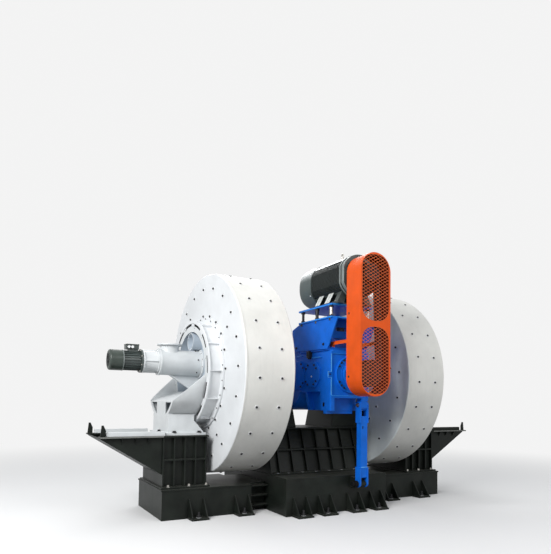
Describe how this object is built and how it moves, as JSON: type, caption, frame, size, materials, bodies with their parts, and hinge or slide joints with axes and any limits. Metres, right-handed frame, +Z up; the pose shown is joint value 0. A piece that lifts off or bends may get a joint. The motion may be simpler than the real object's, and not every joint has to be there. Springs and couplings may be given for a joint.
{
  "type": "ball mill",
  "caption": "Ball mill with wide drums on a common shaft, a hollow-shaft gearbox with the motor on top, an orange belt guard and a dished end cover with classifier at each end.",
  "frame": {"origin": "on the floor under the middle of the drum axis", "axes": "+X along the drum axis to the right in the picture, -Y towards the belt guard, +Z up"},
  "size_m": [6.7, 3.4299, 3.7589],
  "materials": {
    "base_paint": "satin",
    "drum_paint": "satin",
    "cream_paint": "satin",
    "blue_paint": "gloss",
    "orange_paint": "satin",
    "motor_paint": "satin",
    "cowl_paint": "satin",
    "bare_steel": "satin",
    "belt_rubber": "matte"
  },
  "bodies": {
    "frame": {"base_middle": "base_paint", "base_left": "base_paint", "base_right": "base_paint", "anchor_feet": "base_paint", "pedestal_middle": "base_paint", "pedestal_left": "base_paint", "pedestal_right": "base_paint", "wing_left": "base_paint", "wing_right": "base_paint", "rails_left": "cream_paint", "rails_right": "cream_paint", "bearing_seat_left": "base_paint", "bearing_seat_right": "base_paint", "main_bearing_left": "blue_paint", "main_bearing_right": "blue_paint", "end_support_left": "cream_paint", "end_support_right": "cream_paint", "end_cover_left": "cream_paint", "end_cover_right": "cream_paint", "classifier_housing_left": "cream_paint", "classifier_housing_right": "cream_paint", "motor_adapter_left": "cream_paint", "motor_adapter_right": "cream_paint", "classifier_motor_left": "motor_paint", "classifier_motor_right": "motor_paint", "classifier_cowl_left": "cowl_paint", "classifier_cowl_right": "cowl_paint", "gearbox": "blue_paint", "input_flange": "blue_paint", "torque_arm": "blue_paint", "motor_bracket": "blue_paint", "motor_plate": "blue_paint", "adjusting_screws": "bare_steel", "main_motor": "motor_paint", "main_motor_cowl": "cowl_paint", "belt_guard": "orange_paint", "guard_mesh_upper": "orange_paint", "guard_mesh_lower": "orange_paint", "drive_belts": "belt_rubber"},
    "mill_rotor": {"drum_shell_left": "drum_paint", "drum_shell_right": "drum_paint", "outer_head_left": "drum_paint", "outer_head_right": "drum_paint", "inner_head_left": "drum_paint", "inner_head_right": "drum_paint", "neck_left": "drum_paint", "neck_right": "drum_paint", "main_shaft": "bare_steel"},
    "gearbox_pulley_body": {"gearbox_pulley": "bare_steel"},
    "motor_pulley_body": {"motor_pulley": "bare_steel"}
  },
  "joints": [
    {"name": "mill_spin", "type": "hinge", "parent": "frame", "child": "mill_rotor", "pos_m": [0, 0, 2.04], "axis": [1, 0, 0], "continuous": true},
    {"name": "gearbox_pulley_spin", "type": "hinge", "parent": "frame", "child": "gearbox_pulley_body", "pos_m": [0, -1.7, 2.03], "axis": [0, 1, 0], "continuous": true},
    {"name": "motor_pulley_spin", "type": "hinge", "parent": "frame", "child": "motor_pulley_body", "pos_m": [0, -1.7, 3.44], "axis": [0, 1, 0], "continuous": true}
  ],
  "couplings": [
    {"joint": "gearbox_pulley_spin", "follows": "mill_spin", "ratio": 40},
    {"joint": "motor_pulley_spin", "follows": "mill_spin", "ratio": 57.576}
  ]
}
